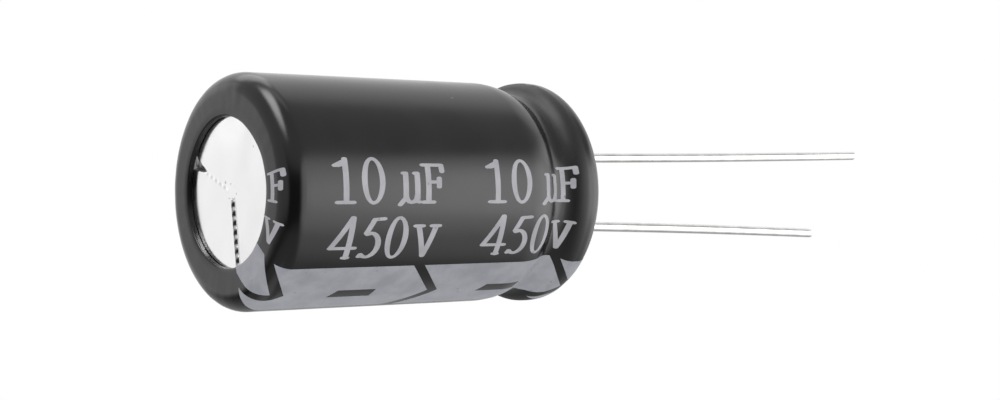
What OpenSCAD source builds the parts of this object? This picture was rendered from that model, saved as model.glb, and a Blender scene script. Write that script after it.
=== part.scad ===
// Radial aluminium electrolytic capacitor: 12.5 x 20 mm can, 5 mm lead pitch, in millimetres.
// It stands on its vent end. The origin is the centre of that end, +Z runs along the axis
// to the leads, and both leads lie in the XZ plane, with the negative one at -X.

/* [Case] */
// Diameter of the bare aluminium can
can_d = 12.5; // [12.3:0.1:12.8]
// Length of the sleeved case, without the leads
case_h = 21.2; // [21.1:0.1:21.5]
// Wall of the drawn can
can_wall = 0.4; // [0.35:0.01:0.42]
// Film thickness of the shrink sleeve
sleeve_t = 0.15; // [0.1:0.01:0.18]
// Corner radius at the vent end, over the sleeve
shoulder_r = 1.2; // [1:0.01:1.4]
// Radius of the curled rim, over the sleeve
rim_r = 0.94; // [0.9:0.01:1]
// How far the rim stands out from the straight wall
rim_bulge = 0.12; // [0:0.01:0.18]
// How far round the curled rim the sleeve reaches
sleeve_wrap = 120; // [90:10:140]

/* [Crimp groove] */
// Height of the groove's deepest point
groove_z = 18.2; // [18.1:0.05:18.25]
// Depth of the groove below the straight wall
groove_depth = 0.46; // [0.4:0.01:0.5]
// Length of the groove's gentle side towards the vent
groove_front = 2.25; // [2.1:0.05:2.25]
// Length of the groove's steeper side towards the rim
groove_rear = 1.55; // [1.45:0.05:1.7]
// Radius at the bottom of the groove, over the sleeve
groove_r = 1; // [0.9:0.05:1.2]

/* [Vent end] */
// Radius of the recess in the can's end
vent_r = 4.25; // [4.1:0.05:4.4]
// Depth of the vent plate below the resting ring
vent_depth = 0.55; // [0.5:0.01:0.6]
// Length of each arm of the pressure score
score_len = 4.1; // [3.4:0.05:4.1]
// Width of the score where it meets the plate
score_w = 0.36; // [0.2:0.02:0.4]
// Depth of the score
score_depth = 0.2; // [0.12:0.01:0.22]
// Direction of the first of the three score arms
score_angle = 204; // [180:0.5:240]

/* [Leads] */
// Distance between the leads
lead_pitch = 5; // [4.8:0.1:5.2]
// Diameter of the tinned wire
lead_d = 0.6; // [0.5:0.05:0.7]
// Height at which the wires start to splay
lead_bend_z = 24.3; // [23.7:0.1:25.1]
// Height of the positive lead's cut end
positive_tip_z = 52.9; // [45:0.1:56]
// Height of the negative lead's cut end
negative_tip_z = 44.2; // [40:0.1:50]
// Outward splay of the positive lead
positive_splay = 1.2; // [0.5:0.1:3]
// Outward splay of the negative lead
negative_splay = 2.4; // [0.5:0.1:3]

/* [Wound element] */
// Radius of the open core that the winding mandrel leaves
core_r = 1.2; // [1.16:0.01:1.24]
// Number of whole turns
turns = 14; // [10:1:14]
// Thickness of the etched anode foil
anode_t = 0.12; // [0.1:0.01:0.13]
// Thickness of the cathode foil
cathode_t = 0.06; // [0.05:0.01:0.06]
// Thickness of each separator paper
paper_t = 0.06; // [0.05:0.01:0.06]
// Height of the papers' lower edge
paper_z = 1.35; // [1.3:0.05:1.6]
// Height of the papers' upper edge
paper_top = 15; // [14.1:0.1:15]
// How far the papers stand past the foils at each end
paper_margin = 0.7; // [0.5:0.05:1]

/* [Tabs] */
// Diameter of the tab's round shank in the seal
shank_d = 1.5; // [1.3:0.05:1.6]
// Width of the tab's flattened tongue
tongue_w = 2; // [1.6:0.1:2.2]
// Height of the tongue's lower end on the foil
tongue_z = 4.1; // [3.1:0.1:6.1]
// Height at which the wire is welded to the shank
weld_z = 20.3; // [19.9:0.1:20.4]
// Diameter of the weld where it meets the shank
weld_d = 1; // [0.8:0.05:1.2]

/* [Printed stripe] */
// Angle round the case that the stripe covers
stripe_angle = 37; // [30:1:44]
// Thickness of the printed ink
ink_t = 0.03; // [0.02:0.01:0.04]
// Distance along the case after which the print repeats
print_repeat = 10; // [9:0.1:10.4]
// Height of the lower chevron's points at the stripe's edges
chevron_z = 8.7; // [8.1:0.1:9.1]
// How far each chevron's tip lies past those points
chevron_rise = 2; // [1:0.05:2.4]
// Width of the unprinted chevron line along the case
chevron_gap = 0.8; // [0.6:0.01:1]
// Height at which the lower minus sign starts
minus_z = 4.3; // [3.7:0.1:4.7]
// Length of the minus sign along the case
minus_len = 2.8; // [2:0.1:3.2]
// Width of the minus sign round the case
minus_w = 0.7; // [0.6:0.05:1]
// How far the minus sign's lower end slants along the case
minus_slant = 0.4; // [0:0.1:0.8]

/* [Hidden] */

$fn = 72;
wire_fn = 32;
arc_step = 10;
eps = 0.02;

body_r = can_d / 2 + sleeve_t;
rim_body_r = body_r + rim_bulge;
lining = sleeve_t + can_wall;

// Centres and radii of the arcs that make up the crimp groove: it is tangent to the
// straight wall on one side and to the fuller rim on the other.
rim_depth = groove_depth + rim_bulge;
front_blend = (pow(groove_front, 2) + pow(groove_depth, 2)) / (2 * groove_depth) - groove_r;
rear_blend = (pow(groove_rear, 2) + pow(rim_depth, 2)) / (2 * rim_depth) - groove_r;
front_turn = atan2(groove_front, front_blend + groove_r - groove_depth);
rear_turn = atan2(groove_rear, rear_blend + groove_r - rim_depth);

// The sleeve's bead inside the recess, and the seal's raised middle
bead_t = 0.16;
bead_z = 0.5;
bead_round = 0.12;
recess_slope = 0.1;
seal_face_z = case_h - rim_r;
seal_boss_gap = 0.1;
seal_boss_r = rim_body_r - 2 * rim_r + sleeve_t - seal_boss_gap;
seal_boss_drop = 0.4;
seal_boss_z = case_h - seal_boss_drop;
seal_chamfer = 0.2;
weld_clear = 0.05;
weld_top = seal_boss_z + weld_clear;

// Layers of one turn, from the inside out
pitch = anode_t + cathode_t + 2 * paper_t;
inner_paper_at = anode_t;
cathode_at = inner_paper_at + paper_t;
outer_paper_at = cathode_at + cathode_t;
foil_z = paper_z + paper_margin;
foil_top = paper_top - paper_margin;
tape_z = 5.1;
tape_h = 6;
// Half turns at whose start each tab's tongue lies in its foil
anode_tab_turn = 8;
cathode_tab_turn = 7;
neck_gap = 0.08;
neck_z = paper_top + neck_gap;
// The neck's foot covers the curved tongue: this far in and out from the tongue's middle
neck_in = 0.28;
neck_out = 0.12;
shank_z = 15.8;
// Part of the shank's radius that the neck blends into
neck_share = 0.9;
bend_gap = 0.05;

// Points along an arc, a whole number of steps from start to finish
function arc(centre, radius, start, finish) =
    let (steps = ceil(abs(finish - start) / arc_step - 0.001))
    [for (i = [0:steps]) let (a = start + (finish - start) * i / steps)
        centre + radius * [cos(a), sin(a)]];

function reversed(points) = [for (i = [len(points) - 1:-1:0]) points[i]];

// Outlines of the case at a depth below the sleeve's outer face, as [radius, height]
function shoulder_path(depth, start = -90) =
    arc([body_r - shoulder_r, shoulder_r], shoulder_r - depth, start, 0);
function groove_path(depth) = concat(
    arc([body_r - front_blend, groove_z - groove_front], front_blend - depth, 0, front_turn),
    arc([body_r - groove_depth + groove_r, groove_z], groove_r + depth, 180 + front_turn, 180 - rear_turn),
    arc([rim_body_r - rear_blend, groove_z + groove_rear], rear_blend - depth, -rear_turn, 0)
);
function rim_path(depth, finish) =
    arc([rim_body_r - rim_r, case_h - rim_r], rim_r - depth, 0, finish);
function case_path(depth, finish) =
    concat(shoulder_path(depth), groove_path(depth), rim_path(depth, finish));

// Shrunk PVC tube: it turns in over both ends, and its front edge curls into the recess.
module sleeve() {
    lip_r = vent_r - bead_t;
    color("#2b2c30") rotate_extrude() polygon(concat(
        [[vent_r, bead_z], [lip_r, bead_z]],
        arc([lip_r + bead_round, bead_round], bead_round, 180, 270),
        case_path(0, sleeve_wrap),
        reversed(case_path(sleeve_t, sleeve_wrap)),
        [[vent_r + recess_slope, sleeve_t]]
    ));
}

// Stripe of ink along the negative side, with bare chevrons and minus signs in it.
module polarity_stripe() {
    ink_start = -70;
    ink_finish = 90;
    color("#9aa0ab") difference() {
        rotate(180 - stripe_angle / 2) rotate_extrude(angle = stripe_angle) polygon(concat(
            shoulder_path(-ink_t, ink_start), groove_path(-ink_t), rim_path(-ink_t, ink_finish),
            reversed(rim_path(0, ink_finish)), reversed(groove_path(0)),
            reversed(shoulder_path(0, ink_start))
        ));
        for (i = [-1:1]) stripe_cut(chevron_z + i * print_repeat) chevron();
        for (i = [0:1]) stripe_cut(minus_z + i * print_repeat) minus_sign();
    }
}

// Cuts its flat child through the stripe, with the child's Y axis along the case.
module stripe_cut(z) {
    translate([-1.5 * body_r, 0, z]) rotate([90, 0, 90]) linear_extrude(body_r) children();
}

module chevron() {
    reach = body_r * sin(stripe_angle / 2);
    past = 1.2 * reach;
    fall = chevron_rise * (1 - past / reach);
    polygon([
        [-past, fall], [0, chevron_rise], [past, fall],
        [past, fall + chevron_gap], [0, chevron_rise + chevron_gap], [-past, fall + chevron_gap]
    ]);
}

module minus_sign() {
    side = minus_w / 2;
    polygon([[-side, 0], [side, minus_slant], [side, minus_len], [-side, minus_len]]);
}

// Deep-drawn can with a recessed, scored vent plate, a crimp groove and a curled rim.
module can() {
    curl = 180;
    color("#d3d6d9") difference() {
        rotate_extrude() polygon(concat(
            [[0, vent_depth], [vent_r, vent_depth], [vent_r, bead_z], [vent_r + recess_slope, sleeve_t]],
            case_path(sleeve_t, curl),
            reversed(case_path(lining, curl)),
            [[vent_r + can_wall, lining], [vent_r + recess_slope, vent_depth + can_wall],
             [0, vent_depth + can_wall]]
        ));
        for (i = [0:2]) rotate(score_angle + 120 * i) score_arm();
    }
}

// One V-shaped arm of the score that lets the vent plate tear open.
module score_arm() {
    translate([0, 0, vent_depth]) rotate([90, 0, 90]) linear_extrude(score_len)
        polygon([[-score_w / 2, -eps], [score_w / 2, -eps], [0, score_depth]]);
}

// Rubber bung that the crimp groove squeezes, with a stepped hole for each tab and lead.
module seal() {
    color("#1d1d1f") difference() {
        rotate_extrude() polygon(concat(
            [[0, groove_z - groove_front]],
            groove_path(lining),
            [[rim_body_r - lining, seal_face_z], [seal_boss_r, seal_face_z],
             [seal_boss_r, seal_boss_z - seal_chamfer], [seal_boss_r - seal_chamfer, seal_boss_z],
             [0, seal_boss_z]]
        ));
        for (side = [-1, 1]) translate([side * lead_pitch / 2, 0, 0]) {
            translate([0, 0, shank_z]) cylinder(d = shank_d, h = weld_z - shank_z);
            translate([0, 0, weld_z]) weld();
        }
    }
}

// Weld between shank and wire, tapering to the wire just clear of the seal
module weld() {
    cylinder(d1 = weld_d, d2 = lead_d, h = weld_top - weld_z, $fn = wire_fn);
}

// Tinned wire: a straight root out of the seal, a slight bend, then a straight run. A ball
// a hair thicker than the wire rounds the bend and joins the two stretches.
module lead(splay, tip_z) {
    $fn = wire_fn;
    color("#c9ccd0") translate([lead_pitch / 2, 0, lead_bend_z]) {
        translate([0, 0, weld_z - lead_bend_z]) weld();
        translate([0, 0, weld_top - lead_bend_z])
            cylinder(d = lead_d, h = lead_bend_z - weld_top - bend_gap);
        sphere(d = lead_d + bend_gap / 2);
        rotate([0, splay, 0]) translate([0, 0, bend_gap])
            cylinder(d = lead_d, h = (tip_z - lead_bend_z) / cos(splay) - bend_gap);
    }
}

module positive_lead() {
    lead(positive_splay, positive_tip_z);
}

module negative_lead() {
    mirror([1, 0, 0]) lead(negative_splay, negative_tip_z);
}

// Half of one turn of a layer. Two centres, a quarter pitch off the axis, let the half
// rings join into a continuous spiral.
module half_ring(half_turn, at, thickness) {
    even = half_turn % 2 == 0;
    inner = core_r + half_turn * pitch / 2 + at;
    intersection() {
        translate([even ? -pitch / 4 : pitch / 4, 0]) difference() {
            circle(inner + thickness);
            circle(inner);
        }
        translate([-body_r, even ? 0 : -body_r]) square([2 * body_r, body_r]);
    }
}

module spiral(first, last, at, thickness) {
    for (k = [first:last]) half_ring(k, at, thickness);
}

// A strip wound for the whole element, between two heights
module wound_strip(at, thickness, low, high) {
    translate([0, 0, low]) linear_extrude(high - low) spiral(0, 2 * turns - 1, at, thickness);
}

// Outline of a tab's tongue, which lies in the turn of its foil, on the side given
module tongue_outline(half_turn, at, thickness, side) {
    intersection() {
        spiral(half_turn - 1, half_turn, at, thickness);
        translate([side > 0 ? 0 : -body_r, -tongue_w / 2]) square([body_r, tongue_w]);
    }
}

module foil(at, thickness, half_turn, side) {
    color("#b9bcc0") difference() {
        wound_strip(at, thickness, foil_z, foil_top);
        translate([0, 0, tongue_z]) linear_extrude(foil_top)
            tongue_outline(half_turn, at - eps, thickness + 2 * eps, side);
    }
}

module anode_foil() {
    foil(0, anode_t, anode_tab_turn, 1);
}

module cathode_foil() {
    foil(cathode_at, cathode_t, cathode_tab_turn, -1);
}

module inner_paper() {
    color("#d9cfae") wound_strip(inner_paper_at, paper_t, paper_z, paper_top);
}

module outer_paper() {
    color("#d9cfae") wound_strip(outer_paper_at, paper_t, paper_z, paper_top);
}

// Tape that holds the last turn, one turn round the element
module closing_tape() {
    color("#e4ddc4") translate([0, 0, tape_z]) linear_extrude(tape_h)
        spiral(2 * turns, 2 * turns + 1, 0, paper_t);
}

// Aluminium tab: a flat tongue in the foil, a pressed neck, and a round shank in the seal
module tab(at, thickness, half_turn, side) {
    foil_x = core_r + half_turn * pitch / 2 - pitch / 4 + at + thickness / 2;
    neck_half = neck_share * shank_d / 2;
    color("#c4c7cb") {
        translate([0, 0, tongue_z]) linear_extrude(neck_z + eps - tongue_z)
            tongue_outline(half_turn, at, thickness, side);
        translate([0, tongue_w / 2, 0]) rotate([90, 0, 0]) linear_extrude(tongue_w) polygon([
            [side * (foil_x - neck_in), neck_z], [side * (foil_x + neck_out), neck_z],
            [side * (lead_pitch / 2 + neck_half), shank_z + eps],
            [side * (lead_pitch / 2 - neck_half), shank_z + eps]
        ]);
        translate([side * lead_pitch / 2, 0, shank_z]) cylinder(d = shank_d, h = weld_z - shank_z);
    }
}

module positive_tab() {
    tab(0, anode_t, anode_tab_turn, 1);
}

module negative_tab() {
    tab(cathode_at, cathode_t, cathode_tab_turn, -1);
}

sleeve();
polarity_stripe();
can();
seal();
positive_lead();
negative_lead();
positive_tab();
negative_tab();
anode_foil();
cathode_foil();
inner_paper();
outer_paper();
closing_tape();
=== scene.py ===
import math

import bmesh
import bpy
from mathutils import Matrix, Vector, geometry, noise


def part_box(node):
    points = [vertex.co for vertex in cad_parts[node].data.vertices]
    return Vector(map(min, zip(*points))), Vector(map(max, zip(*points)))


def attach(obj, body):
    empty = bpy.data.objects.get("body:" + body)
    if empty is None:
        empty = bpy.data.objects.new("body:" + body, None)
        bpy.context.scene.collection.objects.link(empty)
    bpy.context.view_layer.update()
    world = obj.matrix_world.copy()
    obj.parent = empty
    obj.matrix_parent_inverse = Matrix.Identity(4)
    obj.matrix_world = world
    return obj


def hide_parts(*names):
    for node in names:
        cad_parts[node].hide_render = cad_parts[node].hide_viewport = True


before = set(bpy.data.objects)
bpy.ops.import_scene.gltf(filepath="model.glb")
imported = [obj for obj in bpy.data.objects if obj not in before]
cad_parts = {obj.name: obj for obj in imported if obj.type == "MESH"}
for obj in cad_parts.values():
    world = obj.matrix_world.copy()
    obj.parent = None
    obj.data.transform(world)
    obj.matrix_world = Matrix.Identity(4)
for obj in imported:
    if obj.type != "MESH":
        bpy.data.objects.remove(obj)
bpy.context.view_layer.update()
mm = 0.001  # shapes below are in millimetres and meshes are in metres
print("frame loaded with", len(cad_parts), "solids")


# Camera at the photo's angle, below the vent end, with the case lying across the picture
cameraSetup = {
    "aim": (-2.108, 2.441, 16.086),
    "distance": 98.60,
    "azimuth": -147.78,  # degrees, 0 looks along +Y
    "elevation": -38.53,
    "roll": 89.75,
    "lens": 61.93,
    "sensor": 36.0,
    "nearest": 2.0,
    "farthest": 6000.0,
}


def makeCamera(setup):
    azimuth, elevation = math.radians(setup["azimuth"]), math.radians(setup["elevation"])
    level = math.cos(elevation)
    back = Vector((math.sin(azimuth) * level, -math.cos(azimuth) * level, math.sin(elevation)))
    turn = (-back).to_track_quat("-Z", "Y").to_matrix()
    turn = turn @ Matrix.Rotation(math.radians(setup["roll"]), 3, "Z")
    lens = bpy.data.cameras.new("photoCamera")
    lens.lens, lens.sensor_width = setup["lens"], setup["sensor"]
    lens.clip_start, lens.clip_end = setup["nearest"] * mm, setup["farthest"] * mm
    place = (Vector(setup["aim"]) + back * setup["distance"]) * mm
    camera = bpy.data.objects.new("photoCamera", lens)
    camera.matrix_world = Matrix.Translation(place) @ turn.to_4x4()
    bpy.context.scene.collection.objects.link(camera)
    bpy.context.scene.camera = camera
    return {"right": turn.col[0].copy(), "up": turn.col[1].copy(), "back": turn.col[2].copy()}


photoAxes = makeCamera(cameraSetup)
bpy.context.scene.view_settings.view_transform = "Standard"
print("camera placed")


# Small helpers for node trees: an input takes a value or another node's output
def addNode(tree, kind, inputs=None, **settings):
    node = tree.nodes.new(kind)
    for key, value in settings.items():
        setattr(node, key, value)
    for key, value in (inputs or {}).items():
        if isinstance(value, bpy.types.NodeSocket):
            tree.links.new(value, node.inputs[key])
        else:
            node.inputs[key].default_value = value
    return node


def calculate(tree, operation, *values):
    node = addNode(tree, "ShaderNodeMath", dict(enumerate(values)), operation=operation)
    return node.outputs[0]


def ramp(tree, value, start, end, low=0.0, high=1.0):
    inputs = {"Value": value, "From Min": start, "From Max": end, "To Min": low, "To Max": high}
    node = addNode(tree, "ShaderNodeMapRange", inputs, interpolation_type="SMOOTHSTEP")
    return node.outputs["Result"]


# The studio that gloss mirrors. A panel has its strength and then its limits: along one of the
# photo camera's directions it fades in from the first value to the second. The directions are
# fixed in the part's frame, so the studio stays where it is in other views.
studio = {
    "background": 1.0,  # what the camera sees behind the part
    "ambient": 0.60,  # light on matt surfaces
    "dark": 0.016,  # gloss mirrors this between the panels
    "panels": {
        "upperHalf": (0.52, [("up", 0.12, 0.50)]),
        "overhead": (1.25, [("up", 0.84, 1.00), ("back", 0.16, -0.10)]),
        "farWall": (1.00, [("back", -0.15, -0.55), ("up", -0.45, -0.10)]),
        "farWallLow": (0.50, [("back", -0.20, -0.70)]),
        "rightSoft": (1.90, [("right", 0.45, 0.80), ("up", 0.62, 0.34), ("up", -0.85, -0.35)]),
        "rightBright": (3.10, [("right", 0.84, 0.97), ("up", 0.60, 0.30), ("up", -0.80, -0.25)]),
        "rightLow": (1.05, [("right", 0.40, 0.80), ("up", -1.10, -0.82), ("up", 0.40, 0.10)]),
        "leftSoft": (0.60, [("right", -0.32, -0.62), ("up", -0.45, -0.05)]),
        "leftForPlate": (0.93, [("right", -0.60, -0.80), ("up", -0.35, -0.12), ("back", -0.23, -0.33)]),
        "leftForPlateTop": (1.20, [("right", -0.55, -0.80), ("up", 0.00, 0.05), ("back", -0.32, -0.38)]),
        "shoulderStreak": (6.20, [("right", -0.68, -0.42), ("right", -0.01, -0.25),
                                  ("up", 0.60, 0.88), ("back", -0.32, 0.10)]),
        "wallStreak": (2.20, [("right", 0.15, -0.10), ("up", 0.48, 0.66), ("back", -0.30, -0.48)]),
        "lowerHalf": (0.32, [("up", -0.35, -0.65)]),
        "underneath": (0.80, [("up", -0.70, -0.97), ("right", 0.15, -0.20)]),
    },
}


def makeWorld(look):
    world = bpy.data.worlds.new("studio")
    bpy.context.scene.world = world
    world.use_nodes = True
    tree = world.node_tree
    tree.nodes.clear()
    place = addNode(tree, "ShaderNodeTexCoord")
    heading = {}
    for side, axis in photoAxes.items():
        dot = addNode(tree, "ShaderNodeVectorMath", {0: place.outputs["Generated"], 1: tuple(axis)},
                      operation="DOT_PRODUCT")
        heading[side] = dot.outputs["Value"]
    level = look["dark"]
    for mask, limits in look["panels"].values():
        for side, start, end in limits:
            mask = calculate(tree, "MULTIPLY", mask, ramp(tree, heading[side], start, end))
        level = calculate(tree, "MAXIMUM", level, mask)
    ray = addNode(tree, "ShaderNodeLightPath")
    seen = calculate(tree, "MAXIMUM", ray.outputs["Is Camera Ray"], ray.outputs["Is Transmission Ray"])
    glossy = addNode(tree, "ShaderNodeMix", {"Factor": ray.outputs["Is Glossy Ray"],
                                            "A": look["ambient"], "B": level})
    shown = addNode(tree, "ShaderNodeMix", {"Factor": seen, "A": glossy.outputs["Result"],
                                           "B": look["background"]})
    light = addNode(tree, "ShaderNodeBackground", {"Color": (1.0, 1.0, 1.0, 1.0),
                                                   "Strength": shown.outputs["Result"]})
    output = addNode(tree, "ShaderNodeOutputWorld")
    tree.links.new(light.outputs["Background"], output.inputs["Surface"])


# Lamps for the matt surfaces. Each place is a distance along the photo camera's axes from
# the middle of the case, except that the overhead lamp hangs above the standing part.
lamps = {
    "photoKey": {"right": 60, "up": 90, "back": 120, "size": 110, "power": 0.060},
    "photoFill": {"right": -40, "up": -110, "back": 90, "size": 120, "power": 0.035},
    "overhead": {"place": (-60, -80, 190), "size": 120, "power": 0.060},
}


def makeLamps(looks, middle):
    for name, look in looks.items():
        if "place" in look:
            place = Vector(look["place"])
        else:
            place = middle + sum((photoAxes[side] * look[side] for side in photoAxes), Vector())
        light = bpy.data.lights.new(name, "AREA")
        light.shape, light.size, light.energy = "DISK", look["size"] * mm, look["power"]
        lamp = bpy.data.objects.new(name, light)
        aim = (middle - place).to_track_quat("-Z", "Y").to_matrix().to_4x4()
        lamp.matrix_world = Matrix.Translation(place * mm) @ aim
        lamp.visible_glossy = False  # the studio panels make the reflections
        lamp.visible_camera = False
        bpy.context.scene.collection.objects.link(lamp)


# Pale floor, seen from above only, so that the vent end gets light and shows from below
floorLook = {"size": 900.0, "drop": 0.02, "colour": (0.86, 0.86, 0.85, 1.0), "roughness": 0.8}


def makeFloor(look):
    half = look["size"] / 2 * mm
    mesh = bpy.data.meshes.new("floor")
    corners = [(-half, -half, 0), (half, -half, 0), (half, half, 0), (-half, half, 0)]
    mesh.from_pydata(corners, [], [(0, 1, 2, 3)])
    floor = bpy.data.objects.new("floor", mesh)
    floor.location.z = -look["drop"] * mm
    bpy.context.scene.collection.objects.link(floor)
    material = bpy.data.materials.new("floor")
    material.use_nodes = True
    tree = material.node_tree
    tree.nodes.clear()
    ray = addNode(tree, "ShaderNodeLightPath")
    side = addNode(tree, "ShaderNodeNewGeometry")
    front = calculate(tree, "SUBTRACT", 1.0, side.outputs["Backfacing"])
    shown = calculate(tree, "MULTIPLY", ray.outputs["Is Camera Ray"], front)
    paint = addNode(tree, "ShaderNodeBsdfDiffuse", {"Color": look["colour"],
                                                   "Roughness": look["roughness"]})
    clear = addNode(tree, "ShaderNodeBsdfTransparent")
    blend = addNode(tree, "ShaderNodeMixShader", {"Fac": shown, 1: clear.outputs["BSDF"],
                                                 2: paint.outputs["BSDF"]})
    output = addNode(tree, "ShaderNodeOutputMaterial")
    tree.links.new(blend.outputs["Shader"], output.inputs["Surface"])
    mesh.materials.append(material)


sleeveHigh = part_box("sleeve")[1] / mm
makeWorld(studio)
makeLamps(lamps, Vector((0, 0, sleeveHigh.z / 2)))
makeFloor(floorLook)
print("studio lit")


# Outline of the case over the film, which the film, the can and the print follow. It is the
# solids' outline but for the notes below.
case = {
    "rimBodyR": sleeveHigh.x,
    "height": sleeveHigh.z,
    "rimBulge": 0.12,
    "filmT": 0.15,
    "canWall": 0.40,
    "shoulderR": 1.12,  # a little tighter than in the solid
    "rimR": 0.94,
    "filmWrap": 120,  # degrees of the curled rim that the film covers
    "innerBack": 4,  # the film's inner face ends this much before its cut edge
    "canWrap": 180,
    "grooveZ": 18.3,  # the groove is rounder and a little nearer the leads than in the solid
    "grooveFront": 2.3,
    "grooveRear": 1.7,
    "grooveDepth": 0.46,
    "grooveR": 1.4,
    "ventR": 4.25,
    "ventDepth": 0.33,  # shallower than in the solid, so that the plate mirrors less of its wall
    "recessSlope": 0.1,
    "beadT": 0.16,  # the film's front edge curls into the recess
    "beadZ": 0.28,
    "beadRound": 0.12,
}
case["bodyR"] = case["rimBodyR"] - case["rimBulge"]
case["lipR"] = case["ventR"] - case["beadT"]


# A stretch of outline is its length and a function from 0..1 to radius, height and normal
def straight(start, end):
    (r0, z0), (r1, z1) = start, end
    length = math.hypot(r1 - r0, z1 - z0)
    normal = ((z1 - z0) / length, (r0 - r1) / length)
    return length, False, lambda part: (r0 + (r1 - r0) * part, z0 + (z1 - z0) * part, *normal)


def arc(centre, radius, start, end):
    outward = math.copysign(1, end - start)

    def at(part):
        angle = math.radians(start + (end - start) * part)
        nr, nz = math.cos(angle), math.sin(angle)
        return centre[0] + radius * nr, centre[1] + radius * nz, outward * nr, outward * nz
    return math.radians(abs(end - start)) * radius, True, at


def caseOutline(depth, wrap):
    c = case
    rimDepth = c["grooveDepth"] + c["rimBulge"]
    low, high = c["grooveZ"] - c["grooveFront"], c["grooveZ"] + c["grooveRear"]
    frontR = (c["grooveFront"] ** 2 + c["grooveDepth"] ** 2) / (2 * c["grooveDepth"]) - c["grooveR"]
    rearR = (c["grooveRear"] ** 2 + rimDepth ** 2) / (2 * rimDepth) - c["grooveR"]
    frontTurn = math.degrees(math.atan2(c["grooveFront"], frontR + c["grooveR"] - c["grooveDepth"]))
    rearTurn = math.degrees(math.atan2(c["grooveRear"], rearR + c["grooveR"] - rimDepth))
    body, rim = c["bodyR"], c["rimBodyR"]
    rimZ = c["height"] - c["rimR"]
    return [
        arc((body - c["shoulderR"], c["shoulderR"]), c["shoulderR"] - depth, -90, 0),
        straight((body - depth, c["shoulderR"]), (body - depth, low)),
        arc((body - frontR, low), frontR - depth, 0, frontTurn),
        arc((body - c["grooveDepth"] + c["grooveR"], c["grooveZ"]), c["grooveR"] + depth,
            180 + frontTurn, 180 - rearTurn),
        arc((rim - rearR, high), rearR - depth, -rearTurn, 0),
        straight((rim - depth, high), (rim - depth, rimZ)),
        arc((rim - c["rimR"], rimZ), c["rimR"] - depth, 0, wrap),
    ]


def filmOutline():
    lip, bead = case["lipR"], case["beadRound"]
    ringR = case["bodyR"] - case["shoulderR"]
    return [
        straight((lip, case["beadZ"]), (lip, bead)),
        arc((lip + bead, bead), bead, 180, 270),
        straight((lip + bead, 0), (ringR, 0)),
    ] + caseOutline(0, case["filmWrap"])


outline = filmOutline()
# Distance along the film is counted so that it equals the height on the straight wall
outlineStart = case["shoulderR"] - sum(stretch[0] for stretch in outline[:4])
outlineEnd = outlineStart + sum(stretch[0] for stretch in outline)
ringS = outlineStart + outline[0][0] + outline[1][0]
rimS = outlineEnd - outline[-1][0]


def outlineAt(s):
    left = s - outlineStart
    for length, curved, at in outline:
        if left <= length:
            break
        left -= length
    return at(max(0.0, min(1.0, left / length)))


# How many rows a stretch gets, for a step on curves and one on straight stretches
def rowCount(length, curved, steps):
    return max(1, math.ceil(length / steps[0 if curved else 1]))


# Distances along the film, closer together where it curves
def stations(steps):
    found, start = [], outlineStart
    for length, curved, at in outline:
        count = rowCount(length, curved, steps)
        found += [start + length * i / count for i in range(count)]
        start += length
    return found + [outlineEnd]


def smooth(value, start, end):
    part = max(0.0, min(1.0, (value - start) / (end - start)))
    return part * part * (3 - 2 * part)


# Unevenness that shrinking leaves in the film, in millimetres along the outline. A noise form
# gives how fast the noise changes round the case and along it, and its seed.
filmLook = {
    "segments": 252,
    "steps": (0.06, 0.4),  # between rows: on curves, on straight stretches
    "sway": 0.006,
    "swayForm": (1.3, 0.16, 11.3),
    "pucker": 0.007,
    "puckerForm": (9.0, 0.9, 5.1),
    "puckerRise": 0.7,  # puckers grow over this run from the flat ring
    "puckerFall": (0.4, 1.5),  # and are gone here on the wall
    "grooveMiddle": 0.3,  # past the groove's height, as the outline dips in before it
    "groovePucker": (1.0, 2.6),
    "bite": 0.16,  # the crimp bites deeper on two opposite sides
    "biteTurn": 123,  # degrees round the case, where it bites least
    "biteReach": (0.2, 1.3),
    "lipWave": 0.035,  # the front edge wanders
    "lipWaves": [(3, 0.5, 0.6), (7, 0.3, 2.0)],  # lobes, share and phase
    "lipNoise": 0.5,
    "lipNoiseForm": (4.0, 1.0, 3.7),
    "lipForm": [(2, 0.05, 32.5), (1, -0.02, 123.0)],  # lobes, size and where it is narrowest
    "lipDip": (66.0, 36.0, 0.135),  # a longer overhang on one side: where, half width and size
    "lipReach": (0.15, 0.55),  # the wandering fades over the flat ring
    "cutWave": 0.10,  # the cut at the leads' end wanders too
    "cutForm": (1.7, 1.0, 8.2),
    "cutRound": 0.04,
}
hiddenSteps = (0.25, 3.0)  # between rows that another piece hides
hiddenGap = 0.01  # hidden faces keep this far from each other


def roundNoise(angle, s, form):
    around, along, seed = form
    return noise.noise(Vector((math.cos(angle) * around, math.sin(angle) * around, s * along + seed)))


def swell(angle, s):
    look = filmLook
    sway = roundNoise(angle, s, look["swayForm"])
    onShoulder = smooth(s, ringS, ringS + look["puckerRise"]) * (1 - smooth(s, *look["puckerFall"]))
    grooveGap = abs(s - case["grooveZ"] - look["grooveMiddle"])
    inGroove = 1 - smooth(grooveGap, *look["groovePucker"])
    pucker = (onShoulder + inGroove) * roundNoise(angle, s, look["puckerForm"])
    sided = 0.5 - 0.5 * math.cos(2 * angle - math.radians(2 * look["biteTurn"]))
    bite = (1 - smooth(grooveGap, *look["biteReach"])) * sided
    return look["sway"] * sway + look["pucker"] * pucker - look["bite"] * bite


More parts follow.
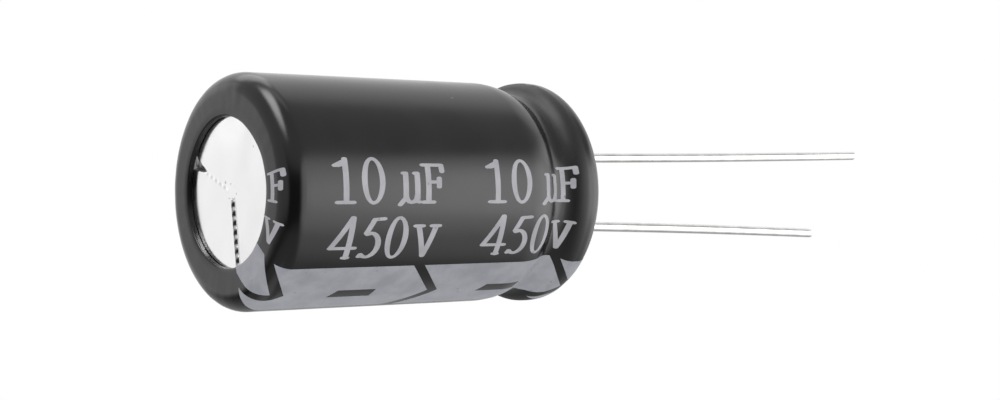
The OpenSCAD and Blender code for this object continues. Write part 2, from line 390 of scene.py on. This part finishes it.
# How far the film's front edge wanders from a true circle
def lipShift(angle, s):
    look = filmLook
    wave = sum(share * math.cos(lobes * angle + phase) for lobes, share, phase in look["lipWaves"])
    wave += look["lipNoise"] * roundNoise(angle, 0, look["lipNoiseForm"])
    shift = look["lipWave"] * wave
    for lobes, size, turn in look["lipForm"]:
        shift += size * math.cos(lobes * (angle - math.radians(turn)))
    turn, half, size = look["lipDip"]
    apart = abs((math.degrees(angle) - turn + 180) % 360 - 180)
    shift += size * (1 - smooth(apart, 0, half))
    before, after = look["lipReach"]
    return shift * (1 - smooth(s, ringS - before, ringS + after))


# Point of the film's surface at an angle round the case and a distance along the outline
def filmPoint(angle, s, lift=0.0):
    trim = filmLook["cutWave"] * (0.5 + roundNoise(angle, 0, filmLook["cutForm"]))
    trimmed = s - trim * smooth(s, rimS, outlineEnd)
    r, z, nr, nz = outlineAt(trimmed)
    out = lift + swell(angle, s)
    radius = r + nr * out - lipShift(angle, s)
    return Vector((radius * math.cos(angle), radius * math.sin(angle), z + nz * out))


sharpAngle = 40  # edges above this many degrees are shaded sharp


def makePiece(name, points, faces):
    mesh = bpy.data.meshes.new(name)
    mesh.from_pydata([Vector(point) * mm for point in points], [], faces)
    shape = bmesh.new()
    shape.from_mesh(mesh)
    bmesh.ops.recalc_face_normals(shape, faces=shape.faces)
    shape.to_mesh(mesh)
    shape.free()
    mesh.shade_smooth()
    mesh.set_sharp_from_angle(angle=math.radians(sharpAngle))
    piece = bpy.data.objects.new(name, mesh)
    bpy.context.scene.collection.objects.link(piece)
    return piece


# Skin through rows of points. A row of one point is a pole, and a loop joins last to first.
def makeSkin(name, rows, loop=False):
    points = [point for row in rows for point in row]
    starts = [sum(len(row) for row in rows[:i]) for i in range(len(rows))]
    pairs = list(zip(range(len(rows)), range(1, len(rows))))
    if loop:
        pairs.append((len(rows) - 1, 0))
    faces = []
    for one, two in pairs:
        count = max(len(rows[one]), len(rows[two]))
        for i in range(count):
            j = (i + 1) % count
            corners = []
            for row, side in ((one, i), (one, j), (two, j), (two, i)):
                corner = starts[row] + side % len(rows[row])
                if corner not in corners:
                    corners.append(corner)
            faces.append(corners)
    return makePiece(name, points, faces)


def ringRow(angles, radius, height):
    return [(radius * math.cos(a), radius * math.sin(a), height) for a in angles]


def outlineRows(angles, stretches, steps):
    rows = []
    for length, curved, at in stretches:
        count = rowCount(length, curved, steps)
        rows += [ringRow(angles, *at(i / count)[:2]) for i in range(count + 1)]
    return rows


def makeFilm(look):
    angles = [math.tau * i / look["segments"] for i in range(look["segments"])]
    rows = [[filmPoint(a, s) for a in angles] for s in stations(look["steps"])]
    thickness = case["filmT"]
    # the cut edge, then the inner face from the rim back to the recess
    rows.append([filmPoint(a, outlineEnd, -look["cutRound"]) for a in angles])
    rows.append([filmPoint(a, outlineEnd, -(thickness - hiddenGap)) for a in angles])
    inner = caseOutline(thickness, case["filmWrap"] - case["innerBack"])
    rows += outlineRows(angles, inner, hiddenSteps)[::-1]
    rows.append(ringRow(angles, case["ventR"] + case["recessSlope"], thickness))
    rows.append(ringRow(angles, case["ventR"], case["beadZ"]))
    return makeSkin("sleeve_film", rows, loop=True)


# Print on the film. Its flat shapes have x along the outline and y round the case, both in
# millimetres on the straight wall, with y = 0 on the middle of the negative side.
printLook = {
    "top": 0.010,
    "bottom": -0.006,
    "start": ringS - 0.12,
    "end": outlineEnd - 0.05,
    "squeeze": 0.17,  # the film shrinks more over the crimp, so the print moves back there
    "squeezeReach": (1.5, 1.6),  # before and after the groove's middle
    "roundStep": 0.15,
    "steps": (0.09, 0.5),
    "weld": 1e-5,  # points closer than this are one
}


# Corners in anticlockwise order
def leftward(shape):
    area = sum(x0 * y1 - x1 * y0 for (x0, y0), (x1, y1) in zip(shape, shape[1:] + shape[:1]))
    return shape if area > 0 else shape[::-1]


# Flat faces that cover the fills and leave out the cuts
def unite(fills, cuts):
    points, faces = [], []
    for shape in map(leftward, fills + cuts):
        faces.append(list(range(len(points), len(points) + len(shape))))
        points += [Vector(corner) for corner in shape]
    result = geometry.delaunay_2d_cdt(points, [], faces, 1, printLook["weld"])
    count = len(fills)
    kept = [face for face, origin in zip(result[2], result[5])
            if origin and all(source < count for source in origin)]
    return result[0], kept


# Where a print's place lands after the film has shrunk
def squeezed(s):
    before, after = printLook["squeezeReach"]
    share = smooth(s, case["grooveZ"] - before, case["grooveZ"] + after)
    share *= 1 - smooth(s, rimS, outlineEnd)
    return s - printLook["squeeze"] * share


def bisect(flat, place, normal, clear=False):
    everything = flat.verts[:] + flat.edges[:] + flat.faces[:]
    bmesh.ops.bisect_plane(flat, geom=everything, dist=printLook["weld"], plane_co=place,
                           plane_no=normal, clear_outer=clear)


# A thin layer of ink: the flat shapes laid on the film point by point, with sides and a back
def makePrint(name, shapes):
    look = printLook
    flat = bmesh.new()
    for fills, cuts in shapes:
        points, faces = unite(fills, cuts)
        corners = [flat.verts.new((p.x, p.y, 0)) for p in points]
        for face in faces:
            flat.faces.new([corners[i] for i in face])
    lowY = min(v.co.y for v in flat.verts)
    highY = max(v.co.y for v in flat.verts)
    lowX = min(v.co.x for v in flat.verts)
    highX = max(v.co.x for v in flat.verts)
    # cut finely enough to follow the film, then trimmed where the print ends
    for s in stations(look["steps"]):
        if lowX < s < highX:
            bisect(flat, (s, 0, 0), (1, 0, 0))
    rounds = math.ceil((highY - lowY) / look["roundStep"])
    for i in range(1, rounds):
        bisect(flat, (0, lowY + (highY - lowY) * i / rounds, 0), (0, 1, 0))
    bisect(flat, (look["start"], 0, 0), (-1, 0, 0), clear=True)
    bisect(flat, (look["end"], 0, 0), (1, 0, 0), clear=True)
    bmesh.ops.delete(flat, geom=[v for v in flat.verts if not v.link_faces], context="VERTS")
    flat.verts.index_update()
    count = len(flat.verts)
    points = []
    for lift in (look["top"], look["bottom"]):
        points += [filmPoint(math.pi + v.co.y / case["bodyR"], squeezed(v.co.x), lift) for v in flat.verts]
    faces = [[v.index for v in face.verts] for face in flat.faces]
    faces += [[i + count for i in reversed(face)] for face in faces]
    for edge in flat.edges:
        if len(edge.link_faces) == 1:
            a, b = (v.index for v in edge.verts)
            faces.append([a, b, b + count, a + count])
    flat.free()
    return makePiece(name, points, faces)


# Stripe on the negative side, with chevrons that point to the leads and bare minus signs
stripeLook = {
    "half": 2.066,
    "upperExtra": 0.09,  # the upper edge is this much further out
    "ringInset": 0.25,  # the lower edge steps in on the flat ring, over the run below
    "ringRun": (-0.8, 0.3),
    "past": 1.15,  # a chevron's cut runs past the stripe's edges
    "chevrons": [  # upper end, lower end and tip, then the gap's width at the ends and at the tip
        ((-0.70, -1.85, 0.70), (0.82, 0.80)),
        ((8.79, 8.78, 10.72), (0.72, 0.68)),
        ((18.82, 19.00, 20.71), (0.72, 0.68)),
    ],
    "columns": (0.0, 10.0),  # a minus sign starts from each
    "minus": [(4.70, -0.33), (7.13, -0.33), (7.03, 0.38), (4.28, 0.38)],
}


def makeStripe(look):
    half = look["half"]
    outer = look["past"] * half
    cuts = []
    for (upper, lower, tip), (endGap, tipGap) in look["chevrons"]:
        upper, lower = (tip + (end - tip) * look["past"] for end in (upper, lower))
        cuts.append([(upper, -outer), (tip, 0), (lower, outer), (lower + endGap, outer),
                     (tip + tipGap, 0), (upper + endGap, -outer)])
    low = half - look["ringInset"]
    high = -half - look["upperExtra"]
    runStart, runEnd = look["ringRun"]
    # the band is longer than the print at both ends, where makePrint trims it
    before, after = printLook["start"] - 1, outlineEnd + 1
    band = [(before, high), (after, high), (after, half), (runEnd, half), (runStart, low), (before, low)]
    cuts += [[(x + column, y) for x, y in look["minus"]] for column in look["columns"]]
    return makePrint("stripe_print", [([band], cuts)])


# Rating in plain serif letterforms, built from pen strokes. In each letterform x runs along
# the case and y up from the baseline, in millimetres.
ratingLook = {
    "pen": (0.178, 0.088),  # a flat nib's half width and half height
    "penSides": 12,
    "ovalSides": 36,
    "columns": (0.0, 9.94),  # the rating is printed twice along the case
    "onRing": [("F", -1.49, -5.74, 0.96), ("v", -1.78, -3.00, 0.84)],  # letter, left, base, size
    "lines": [
        {"base": -5.81, "letters": [("1", 2.69), ("0", 4.43), ("micro", 6.72), ("F", 8.25)]},
        {"base": -2.73, "letters": [("4", 2.77), ("5", 4.71), ("slim0", 6.33), ("v", 7.95)]},
    ],
}


def curve(centre, radii, start, end, count):
    turns = [math.radians(start + (end - start) * i / count) for i in range(count + 1)]
    return [(centre[0] + radii[0] * math.cos(t), centre[1] + radii[1] * math.sin(t)) for t in turns]


strokes = {
    "1": [[(0.78, 0.06), (0.78, 2.34)], [(0.76, 2.24), (0.14, 1.98)], [(0.70, 2.06), (0.34, 1.98)],
          [(0.24, 0.07), (1.24, 0.07)]],
    "micro": [[(0.50, 1.58), (0.50, 0.30), (0.14, -0.06)],
              [(0.50, 0.50)] + curve((0.87, 0.42), (0.36, 0.36), 180, 360, 8),
              [(1.25, 1.58), (1.25, 0.10), (1.38, 0.08)],
              [(0.36, 1.60), (0.50, 1.60)], [(1.10, 1.60), (1.25, 1.60)]],
    "F": [[(0.45, 0.07), (0.45, 2.03)], [(0.12, 2.05), (1.34, 2.05), (1.37, 1.70)],
          [(0.45, 1.14), (1.10, 1.14)], [(1.16, 1.34), (1.14, 0.88)], [(0.10, 0.07), (0.78, 0.07)]],
    "4": [[(1.22, 2.35), (0.12, 0.66), (1.62, 0.66)], [(1.24, 2.35), (1.24, 0.06)],
          [(1.10, 0.08), (1.34, 0.08)]],
    "5": [[(1.24, 2.28), (0.64, 2.24), (0.24, 1.50), (0.44, 1.46)],
          curve((0.55, 0.80), (0.57, 0.70), 115, -130, 18) + [(0.12, 0.14)]],
    "v": [[(0.30, 1.83), (0.98, 0.08), (1.42, 1.83)], [(0.08, 1.86), (0.56, 1.86)],
          [(1.15, 1.86), (1.64, 1.86)]],
}
ovals = {"0": ((0.745, 1.20), (0.560, 1.16)), "slim0": ((0.62, 1.18), (0.525, 1.14))}


# A stroke is the hulls of the nib's places at both ends of each stretch of its path
def penHulls(path, pen, sides):
    nib = [(pen[0] * math.cos(math.tau * i / sides), pen[1] * math.sin(math.tau * i / sides))
           for i in range(sides)]
    hulls = []
    for one, two in zip(path, path[1:]):
        dots = [Vector((x + dx, y + dy)) for x, y in (one, two) for dx, dy in nib]
        hulls.append([tuple(dots[i]) for i in geometry.convex_hull_2d(dots)])
    return hulls


def letterShape(letter, look):
    pen = look["pen"]
    if letter in ovals:
        centre, radii = ovals[letter]
        outer, inner = (curve(centre, (radii[0] + k * pen[0], radii[1] + k * pen[1]), 0, 360,
                              look["ovalSides"])[:-1] for k in (1, -1))
        return [outer], [inner]
    return [hull for path in strokes[letter] for hull in penHulls(path, pen, look["penSides"])], []


def makeRating(look):
    placed = [(letter, column + left, line["base"], 1.0) for column in look["columns"]
              for line in look["lines"] for letter, left in line["letters"]]
    shapes = []
    for letter, left, base, size in placed + look["onRing"]:
        shapes.append([[[(left + x, base - y * size) for x, y in shape] for shape in part]
                       for part in letterShape(letter, look)])
    return makePrint("rating_print", shapes)


# Drawn can: the vent plate with its three-armed score, the wall, the crimp and the curled rim.
# The score's arms are numbered round from scoreAngle.
canLook = {
    "scoreCentre": (-0.11, 0.17),  # a little off the can's own centre
    "centreFade": 0.6,  # rows of points move back to the can's centre over the plate's outer part
    "scoreAngle": 204.0,
    "scoreHalf": 0.19,
    "scoreDepth": 0.31,
    "armRun": (0.45, 4.2),
    "armFades": (0.1, 0.15),
    "arms": [1.0, 0.08, 0.0],  # share of the depth: one arm shows, the others hardly
    "notch": {"arm": 1, "start": 2.85, "half": 0.32, "depth": 0.24, "floor": 0.8, "soft": 0.03},
    "burr": 0.012,  # metal pushed up beside an arm
    "burrRun": (0.02, 0.10),
    "chatter": 0.45,  # the score's ribs
    "chatterPitch": 0.50,
    "dimple": 0.010,
    "dimpleForm": (0.55, 2.4),  # how fast it changes and its seed
    "acrossArm": [0.0, 0.035, 0.07, 0.105, 0.14, 0.18, 0.20, 0.23, 0.27, 0.31, 0.36],
    "between": 62,
    "crowded": 0.45,  # share of the angle between arms above which the points are spread evenly
    "ringStep": 0.06,
    "curlSteps": (0.05, 1.0),
    "liningSteps": (0.2, 3.0),
    "wallEnd": 10,  # degrees before the film's edge at which the outer wall ends
    "curlStart": 8,
    "edgeRound": 0.03,
}


# Angles of a plate row's points, closer together across each arm of the score
def plateAngles(radius):
    look = canLook
    reach = look["acrossArm"][-1]
    offsets = sorted({side * d for d in look["acrossArm"] for side in (-1, 1)})
    wide = math.asin(min(1.0, reach / radius))
    third = math.tau / 3
    angles = []
    for arm in range(3):
        start = math.radians(look["scoreAngle"]) + arm * third
        if wide < third * look["crowded"]:
            angles += [start + math.asin(d / radius) for d in offsets]
            gap = (third - 2 * wide) / (look["between"] + 1)
            angles += [start + wide + gap * (i + 1) for i in range(look["between"])]
        else:
            count = len(offsets) + look["between"]
            angles += [start + third * (i / count - look["crowded"]) for i in range(count)]
    return angles


# Height of the vent plate with its score, burrs, dent and dimples
def plateHeight(x, y):
    look = canLook
    notch = look["notch"]
    cut = burr = dent = 0.0
    offX, offY = x - look["scoreCentre"][0], y - look["scoreCentre"][1]
    (armStart, armEnd), (fadeIn, fadeOut) = look["armRun"], look["armFades"]
    half = look["scoreHalf"]
    burrRise, burrFall = look["burrRun"]
    for arm, share in enumerate(look["arms"]):
        turn = math.radians(look["scoreAngle"] + 120 * arm)
        along = offX * math.cos(turn) + offY * math.sin(turn)
        across = -offX * math.sin(turn) + offY * math.cos(turn)
        apart = abs(across)
        fade = 1 - smooth(along, armEnd - fadeOut, armEnd)
        fade *= smooth(along, armStart - fadeIn, armStart + fadeIn)
        fade *= share
        ribs = 1 - look["chatter"] * (0.5 + 0.5 * math.cos(math.tau * along / look["chatterPitch"]))
        cut = max(cut, fade * ribs * max(0.0, 1 - apart / half))
        # a dent widens towards the wall at the end of one arm
        if arm == notch["arm"] and along > notch["start"]:
            run = (along - notch["start"]) / (case["ventR"] - notch["start"])
            wide = notch["half"] * run
            side = smooth(apart, notch["floor"] * wide, wide + notch["soft"])
            dent = max(dent, notch["depth"] * run * (1 - side))
        swollen = smooth(apart, half, half + burrRise)
        burr = max(burr, fade * swollen * (1 - smooth(apart, half, half + burrFall)))
    rate, seed = look["dimpleForm"]
    dimple = look["dimple"] * noise.noise(Vector((x * rate, y * rate, seed)))
    if cut > 0:
        burr = 0.0
    return case["ventDepth"] + max(look["scoreDepth"] * cut, dent) - look["burr"] * burr + dimple


def makeCan(look):
    plateR = case["ventR"]
    count = round(plateR / look["ringStep"])
    centreX, centreY = look["scoreCentre"]
    rows = [[(centreX, centreY, plateHeight(centreX, centreY))]]
    for i in range(1, count + 1):
        radius = plateR * i / count
        stay = 1 - smooth(radius, plateR - look["centreFade"], plateR)
        spots = [(stay * centreX + radius * math.cos(a), stay * centreY + radius * math.sin(a))
                 for a in plateAngles(radius)]
        rows.append([(x, y, plateHeight(x, y)) for x, y in spots])
    angles = plateAngles(plateR)
    thickness, wall, edge = case["filmT"], case["canWall"], look["edgeRound"]
    rows.append(ringRow(angles, plateR + hiddenGap, case["beadZ"]))
    rows.append(ringRow(angles, plateR + case["recessSlope"], thickness + hiddenGap))
    outer = caseOutline(thickness + hiddenGap, case["filmWrap"] - look["wallEnd"])
    rows += outlineRows(angles, outer, hiddenSteps)
    # the bare curl past the film's cut, its rounded edge, then the lining
    rimCentre = (case["rimBodyR"] - case["rimR"], case["height"] - case["rimR"])
    sheetR = case["rimR"] - thickness
    curl = [arc(rimCentre, sheetR, case["filmWrap"] - look["curlStart"], case["canWrap"])]
    rows += outlineRows(angles, curl, look["curlSteps"])
    rows += [ringRow(angles, rimCentre[0] - sheetR + inset, rimCentre[1] - edge)
             for inset in (edge, wall - edge)]
    lining = thickness + wall
    rows += outlineRows(angles, caseOutline(lining, case["canWrap"]), look["liningSteps"])[::-1]
    rows.append(ringRow(angles, plateR + wall, lining))
    rows.append(ringRow(angles, plateR + case["recessSlope"], case["ventDepth"] + wall))
    rows.append([(0, 0, case["ventDepth"] + wall)])
    return makeSkin("can_shell", rows)


# Tinned wire leads: weld, straight root, soft bend, splayed run and a sheared tip
leadLook = {
    "pitch": 5.0,
    "radius": 0.3,
    "weldR": 0.5,
    "weldRound": (0.03, 0.06),  # inwards and along
    "weldZ": 20.3,
    "weldTop": 20.85,
    "rootFlare": 0.05,  # the wire is this much thicker at the weld
    "bendZ": 24.3,
    "bendHalf": 0.7,
    "sides": 28,
    "step": 0.5,
    "bow": 0.05,  # how far the splayed run bows inwards
    "positiveSplay": 1.2,  # degrees
    "negativeSplay": 2.4,
    "shear": 9.0,  # degrees of the cut at the tip
    "tipRun": 0.4,
    "tipMargin": 0.02,
    "tipRound": [(0.12, 0.0), (0.05, 0.012), (0.015, 0.035), (0.0, 0.075)],  # below the tip, inset
}


def makeLead(name, node, side, splay):
    look = leadLook
    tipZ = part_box(node)[1].z / mm
    slope = math.tan(math.radians(splay))
    radius = look["radius"]
    angles = [math.tau * i / look["sides"] for i in range(look["sides"])]

    def centreX(z):
        past = z - look["bendZ"]
        half = look["bendHalf"]
        if abs(past) < half:
            run = (past + half) ** 2 / (4 * half)
        else:
            run = max(0.0, past)
        bow = look["bow"] * math.sin(math.pi * max(0.0, past) / (tipZ - look["bendZ"]))
        return side * (look["pitch"] / 2 + slope * run - bow)

    def row(z, r, tilt=0.0):
        return [(centreX(z) + r * math.cos(a), r * math.sin(a), z + tilt * r * math.cos(a)) for a in angles]

    weldZ, weldTop, weldR = look["weldZ"], look["weldTop"], look["weldR"]
    inwards, along = look["weldRound"]
    rows = [[(side * look["pitch"] / 2, 0, weldZ)], row(weldZ, weldR), row(weldZ + along, weldR - inwards),
            row(weldTop - along, radius + look["rootFlare"]), row(weldTop, radius)]
    tilt = side * math.tan(math.radians(look["shear"]))
    topZ = tipZ - radius * abs(tilt) - look["tipMargin"]
    shaftEnd = topZ - look["tipRun"]
    count = math.ceil((shaftEnd - weldTop) / look["step"])
    rows += [row(weldTop + (shaftEnd - weldTop) * i / count, radius) for i in range(1, count + 1)]
    rows += [row(topZ - drop, radius - inset, tilt) for drop, inset in look["tipRound"]]
    rows.append([(centreX(topZ), 0, topZ)])
    return makeSkin(name, rows)


# Shared effects: they put out masks and heights only, from the part's own coordinates
def newGroup(name, inputs, outputs):
    group = bpy.data.node_groups.new(name, "ShaderNodeTree")
    for label, value in inputs.items():
        socket = group.interface.new_socket(label, in_out="INPUT", socket_type="NodeSocketFloat")
        socket.default_value = value
    for label in outputs:
        group.interface.new_socket(label, in_out="OUTPUT", socket_type="NodeSocketFloat")
    return group, group.nodes.new("NodeGroupInput"), group.nodes.new("NodeGroupOutput")


# Soft mottling and fine grain
def makeGrainGroup():
    group, given, result = newGroup("grain", {"Mottle": 400.0, "Fine": 9000.0}, ["Patches", "Height"])
    place = addNode(group, "ShaderNodeTexCoord").outputs["Object"]
    mottle = addNode(group, "ShaderNodeTexNoise", {"Vector": place, "Scale": given.outputs["Mottle"],
                                                   "Detail": 4.0})
    fine = addNode(group, "ShaderNodeTexNoise", {"Vector": place, "Scale": given.outputs["Fine"],
                                                 "Detail": 3.0})
    group.links.new(ramp(group, mottle.outputs["Fac"], 0.3, 0.7), result.inputs["Patches"])
    group.links.new(fine.outputs["Fac"], result.inputs["Height"])
    return group


# Sparse small specks, such as dust and pits
def makeSpeckGroup():
    group, given, result = newGroup("specks", {"Scale": 500.0, "Size": 0.12, "Share": 0.1}, ["Mask"])
    place = addNode(group, "ShaderNodeTexCoord").outputs["Object"]
    cells = addNode(group, "ShaderNodeTexVoronoi", {"Vector": place, "Scale": given.outputs["Scale"]})
    chance = addNode(group, "ShaderNodeSeparateColor", {"Color": cells.outputs["Color"]})
    chosen = calculate(group, "LESS_THAN", chance.outputs["Red"], given.outputs["Share"])
    size = calculate(group, "MULTIPLY", given.outputs["Size"], chance.outputs["Green"])
    near = calculate(group, "SUBTRACT", 1.0, calculate(group, "DIVIDE", cells.outputs["Distance"], size))
    spot = calculate(group, "MULTIPLY", ramp(group, near, 0.0, 0.5), chosen)
    group.links.new(spot, result.inputs["Mask"])
    return group


# Lines along the axis of the part, as drawing and rolling leave them
def makeStreakGroup():
    group, given, result = newGroup("streaks", {"Scale": 6000.0, "Stretch": 0.02}, ["Height"])
    place = addNode(group, "ShaderNodeTexCoord").outputs["Object"]
    apart = addNode(group, "ShaderNodeSeparateXYZ", {"Vector": place})
    shrunk = calculate(group, "MULTIPLY", apart.outputs["Z"], given.outputs["Stretch"])
    joined = addNode(group, "ShaderNodeCombineXYZ", {"X": apart.outputs["X"], "Y": apart.outputs["Y"],
                                                     "Z": shrunk})
    lines = addNode(group, "ShaderNodeTexNoise", {"Vector": joined.outputs["Vector"],
                                                  "Scale": given.outputs["Scale"], "Detail": 2.0})
    group.links.new(lines.outputs["Fac"], result.inputs["Height"])
    return group


grainGroup, speckGroup, streakGroup = makeGrainGroup(), makeSpeckGroup(), makeStreakGroup()


def useGroup(tree, group, **inputs):
    return addNode(tree, "ShaderNodeGroup", node_tree=group, inputs=inputs).outputs


def newMaterial(name, **sockets):
    material = bpy.data.materials.new(name)
    material.use_nodes = True
    tree = material.node_tree
    shader = tree.nodes["Principled BSDF"]
    for socket, value in sockets.items():
        shader.inputs[socket.replace("_", " ")].default_value = value
    return material, tree, shader


def mixColour(tree, mask, one, two):
    node = addNode(tree, "ShaderNodeMix", data_type="RGBA")
    tree.links.new(mask, node.inputs["Factor"])
    for socket, value in ((node.inputs[6], one), (node.inputs[7], two)):
        if isinstance(value, bpy.types.NodeSocket):
            tree.links.new(value, socket)
        else:
            socket.default_value = (*value, 1.0)
    return node.outputs[2]


def bumpFrom(tree, shader, height, distance):
    bump = addNode(tree, "ShaderNodeBump", {"Height": height, "Distance": distance, "Strength": 1.0})
    tree.links.new(bump.outputs["Normal"], shader.inputs["Normal"])


def setColour(tree, shader, look, patches, spots=None):
    colour = mixColour(tree, patches, look["dark"], look["light"])
    if spots:
        colour = mixColour(tree, spots, colour, look["spots"])
    tree.links.new(colour, shader.inputs["Base Color"])


def setRoughness(tree, shader, look, height, start=0.0, end=1.0):
    tree.links.new(ramp(tree, height, start, end, *look["roughness"]), shader.inputs["Roughness"])


filmFinish = {
    "dark": (0.0050, 0.0050, 0.0056),
    "light": (0.0075, 0.0076, 0.0082),
    "spots": (0.22, 0.22, 0.21),  # dust
    "roughness": (0.17, 0.23),
    "dullBy": 0.30,  # the film is puckered, so duller, behind the groove
    "dullFrom": (18.5, 18.9),
    "dullTo": (20.2, 19.8),
}


def filmMaterial(look):
    material, tree, shader = newMaterial("shrinkFilm", IOR=1.52)
    grain = useGroup(tree, grainGroup, Mottle=300.0, Fine=7000.0)
    dust = useGroup(tree, speckGroup, Scale=420.0, Size=0.16, Share=0.035)
    setColour(tree, shader, look, grain["Patches"], dust["Mask"])
    place = addNode(tree, "ShaderNodeTexCoord").outputs["Object"]
    height = addNode(tree, "ShaderNodeSeparateXYZ", {"Vector": place}).outputs["Z"]
    rise, fall = (ramp(tree, height, start * mm, end * mm)
                  for start, end in (look["dullFrom"], look["dullTo"]))
    dull = calculate(tree, "MULTIPLY", rise, fall)
    gloss = ramp(tree, grain["Patches"], 0, 1, *look["roughness"])
    tree.links.new(calculate(tree, "MULTIPLY_ADD", dull, look["dullBy"], gloss), shader.inputs["Roughness"])
    bumpFrom(tree, shader, grain["Height"], 1.2e-6)
    return material


inkFinishes = {  # worn spots are a little darker
    "stripeInk": {
        "dark": (0.335, 0.347, 0.385),
        "light": (0.425, 0.437, 0.475),
        "spots": (0.27, 0.275, 0.31),
        "roughness": (0.33, 0.44),
    },
    "ratingInk": {
        "dark": (0.40, 0.40, 0.43),
        "light": (0.50, 0.50, 0.53),
        "spots": (0.30, 0.30, 0.33),
        "roughness": (0.33, 0.44),
    },
}


def inkMaterial(name):
    material, tree, shader = newMaterial(name, IOR=1.45)
    grain = useGroup(tree, grainGroup, Mottle=900.0, Fine=12000.0)
    worn = useGroup(tree, speckGroup, Scale=2600.0, Size=0.35, Share=0.25)
    setColour(tree, shader, inkFinishes[name], grain["Patches"], worn["Mask"])
    setRoughness(tree, shader, inkFinishes[name], grain["Patches"])
    bumpFrom(tree, shader, grain["Height"], 2.0e-6)
    return material


sheetFinishes = {  # drawn and pressed aluminium, with fine pits
    "canAluminium": {
        "dark": (0.94, 0.94, 0.945),
        "light": (0.97, 0.97, 0.97),
        "spots": (0.582, 0.582, 0.582),
        "roughness": (0.13, 0.21),
    },
    "tabAluminium": {
        "dark": (0.72, 0.72, 0.73),
        "light": (0.80, 0.80, 0.80),
        "spots": (0.48, 0.48, 0.48),
        "roughness": (0.32, 0.40),
    },
}


def sheetMaterial(name):
    material, tree, shader = newMaterial(name, Metallic=1.0)
    grain = useGroup(tree, grainGroup, Mottle=700.0, Fine=16000.0)
    pits = useGroup(tree, speckGroup, Scale=1500.0, Size=0.22, Share=0.10)
    setColour(tree, shader, sheetFinishes[name], grain["Patches"], pits["Mask"])
    setRoughness(tree, shader, sheetFinishes[name], grain["Patches"])
    bumpFrom(tree, shader, grain["Height"], 1.5e-6)
    return material


wireFinish = {"dark": (0.70, 0.70, 0.69), "light": (0.86, 0.86, 0.85), "roughness": (0.16, 0.26)}


def wireMaterial(look):
    material, tree, shader = newMaterial("tinnedWire", Metallic=1.0)
    grain = useGroup(tree, grainGroup, Mottle=1200.0, Fine=14000.0)
    lines = useGroup(tree, streakGroup, Scale=9000.0, Stretch=0.015)
    setColour(tree, shader, look, grain["Patches"])
    setRoughness(tree, shader, look, grain["Patches"])
    bumpFrom(tree, shader, lines["Height"], 2.0e-6)
    return material


rubberFinish = {
    "dark": (0.013, 0.013, 0.013),
    "light": (0.022, 0.022, 0.021),
    "spots": (0.16, 0.155, 0.15),  # dust
    "roughness": (0.50, 0.62),
}


def rubberMaterial(look):
    material, tree, shader = newMaterial("sealRubber", IOR=1.5)
    grain = useGroup(tree, grainGroup, Mottle=500.0, Fine=6000.0)
    dust = useGroup(tree, speckGroup, Scale=900.0, Size=0.2, Share=0.08)
    setColour(tree, shader, look, grain["Patches"], dust["Mask"])
    setRoughness(tree, shader, look, grain["Patches"])
    bumpFrom(tree, shader, grain["Height"], 7.0e-6)
    return material


foilFinishes = {  # the anode's foil is etched, so darker and rougher
    "anodeFoil": {"dark": (0.44, 0.45, 0.46), "light": (0.52, 0.53, 0.54), "roughness": (0.55, 0.65)},
    "cathodeFoil": {"dark": (0.66, 0.66, 0.67), "light": (0.74, 0.74, 0.75), "roughness": (0.35, 0.45)},
}


def foilMaterial(name):
    material, tree, shader = newMaterial(name, Metallic=1.0)
    grain = useGroup(tree, grainGroup, Mottle=600.0, Fine=20000.0)
    lines = useGroup(tree, streakGroup, Scale=5000.0, Stretch=0.05)
    setColour(tree, shader, foilFinishes[name], grain["Patches"])
    setRoughness(tree, shader, foilFinishes[name], lines["Height"], 0.3, 0.7)
    bumpFrom(tree, shader, grain["Height"], 3.0e-6)
    return material


paperFinishes = {
    "separatorPaper": {
        "dark": (0.56, 0.50, 0.34),
        "light": (0.66, 0.60, 0.43),
        "roughness": (0.6, 0.8),
        "fibre": 1500.0,
    },
    "closingTape": {
        "dark": (0.70, 0.63, 0.43),
        "light": (0.78, 0.72, 0.52),
        "roughness": (0.6, 0.8),
        "fibre": 900.0,
    },
}


def paperMaterial(name):
    material, tree, shader = newMaterial(name, IOR=1.45)
    fibre = paperFinishes[name]["fibre"]
    grain = useGroup(tree, grainGroup, Mottle=fibre, Fine=fibre * 9)
    setColour(tree, shader, paperFinishes[name], grain["Patches"])
    setRoughness(tree, shader, paperFinishes[name], grain["Height"], 0.3, 0.7)
    bumpFrom(tree, shader, grain["Height"], 6.0e-6)
    return material


def dress(piece, node, material):
    piece.data.materials.append(material)
    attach(piece, "root")
    if node:
        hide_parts(node)


dress(makeFilm(filmLook), "sleeve", filmMaterial(filmFinish))
print("sleeve made")
dress(makeStripe(stripeLook), "polarity_stripe", inkMaterial("stripeInk"))
dress(makeRating(ratingLook), None, inkMaterial("ratingInk"))
print("print made")
dress(makeCan(canLook), "can", sheetMaterial("canAluminium"))
print("can made")
tinned = wireMaterial(wireFinish)
dress(makeLead("positive_wire", "positive_lead", 1, leadLook["positiveSplay"]),
      "positive_lead", tinned)
dress(makeLead("negative_wire", "negative_lead", -1, leadLook["negativeSplay"]),
      "negative_lead", tinned)
print("leads made")

# Finishes of the solids that keep their own shape
tabMetal, separator = sheetMaterial("tabAluminium"), paperMaterial("separatorPaper")
finishes = {
    "seal": rubberMaterial(rubberFinish),
    "positive_tab": tabMetal,
    "negative_tab": tabMetal,
    "anode_foil": foilMaterial("anodeFoil"),
    "cathode_foil": foilMaterial("cathodeFoil"),
    "inner_paper": separator,
    "outer_paper": separator,
    "closing_tape": paperMaterial("closingTape"),
}
for node, material in finishes.items():
    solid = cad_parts[node]
    solid.data.materials.clear()
    solid.data.materials.append(material)
print("finishes given to", len(finishes), "inner solids")
